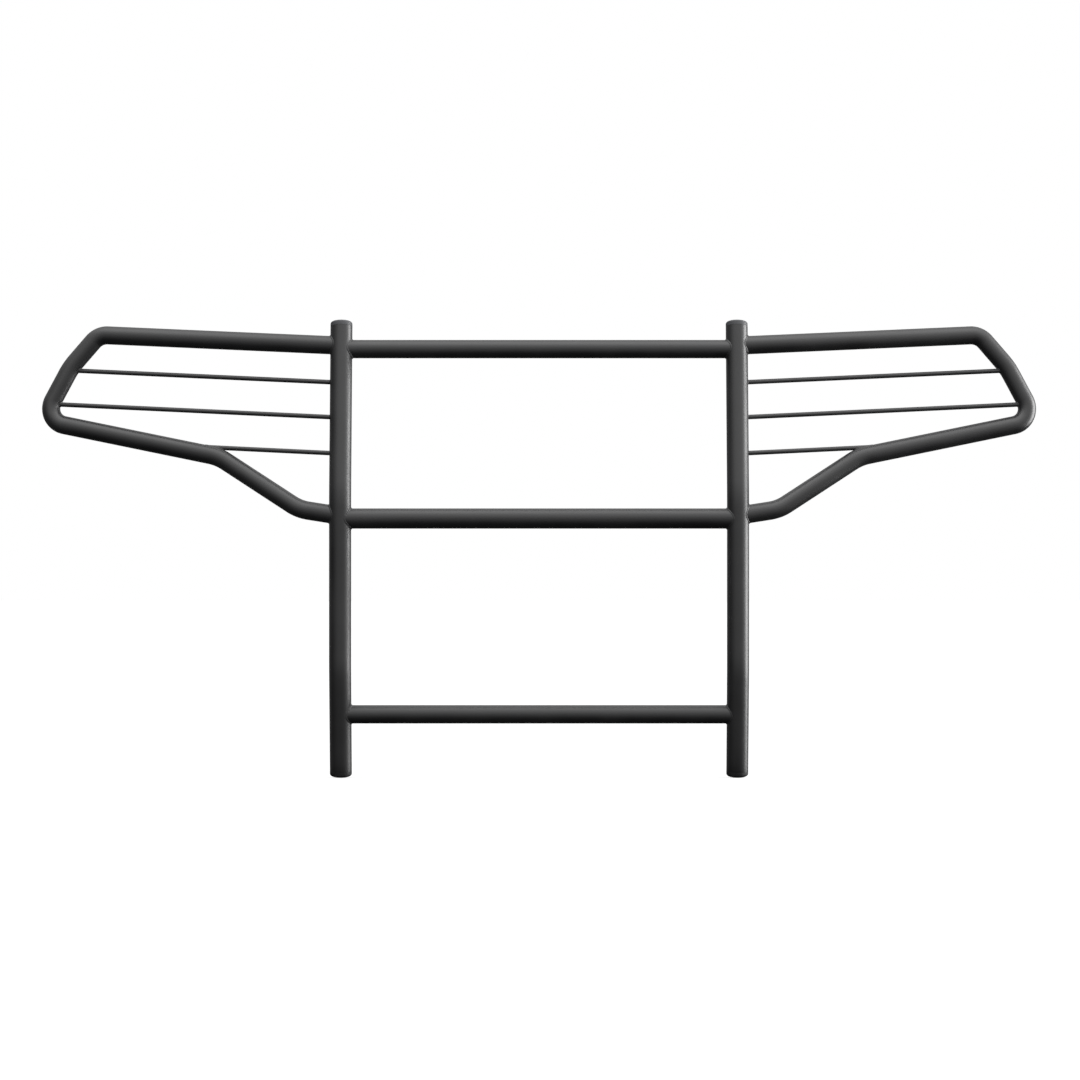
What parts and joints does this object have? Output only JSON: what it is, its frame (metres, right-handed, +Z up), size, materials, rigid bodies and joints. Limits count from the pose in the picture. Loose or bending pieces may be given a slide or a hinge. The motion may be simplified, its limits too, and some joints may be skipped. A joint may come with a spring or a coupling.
{
  "type": "front grille guard",
  "caption": "Tubular front grille guard: two bent uprights with cross tubes between them, and on each side a bent tube loop with thin rods in front of the headlight.",
  "frame": {"origin": "centre of the bottom of the guard's box, under the middle of the lower cross tube and level with the lowest points of the two uprights", "axes": "+X to the right seen from the front, +Y towards the vehicle, +Z up"},
  "size_m": [1.738, 0.2299, 0.7931],
  "materials": {
    "powder_coat": "semi-gloss black powder coat over welded steel tube",
    "moulded_cap": "moulded black polyethylene, fine matt texture",
    "zinc_fastener": "bright zinc plate"
  },
  "bodies": {
    "root": {"cross_tube_lower": "powder_coat", "cross_tube_middle": "powder_coat", "cross_tube_top": "powder_coat", "end_cap_bottom_left": "moulded_cap", "end_cap_bottom_right": "moulded_cap", "end_cap_top_left": "moulded_cap", "end_cap_top_right": "moulded_cap", "frame_bracket_left": "powder_coat", "frame_bracket_right": "powder_coat", "mounting_tab_left": "powder_coat", "mounting_tab_right": "powder_coat", "tab_bolts": "zinc_fastener", "tab_nuts": "zinc_fastener", "tab_washers": "zinc_fastener", "upright_left": "powder_coat", "upright_right": "powder_coat", "wing_rod_lower_left": "powder_coat", "wing_rod_lower_right": "powder_coat", "wing_rod_middle_left": "powder_coat", "wing_rod_middle_right": "powder_coat", "wing_rod_upper_left": "powder_coat", "wing_rod_upper_right": "powder_coat", "wing_tube_left": "powder_coat", "wing_tube_right": "powder_coat"}
  },
  "joints": []
}
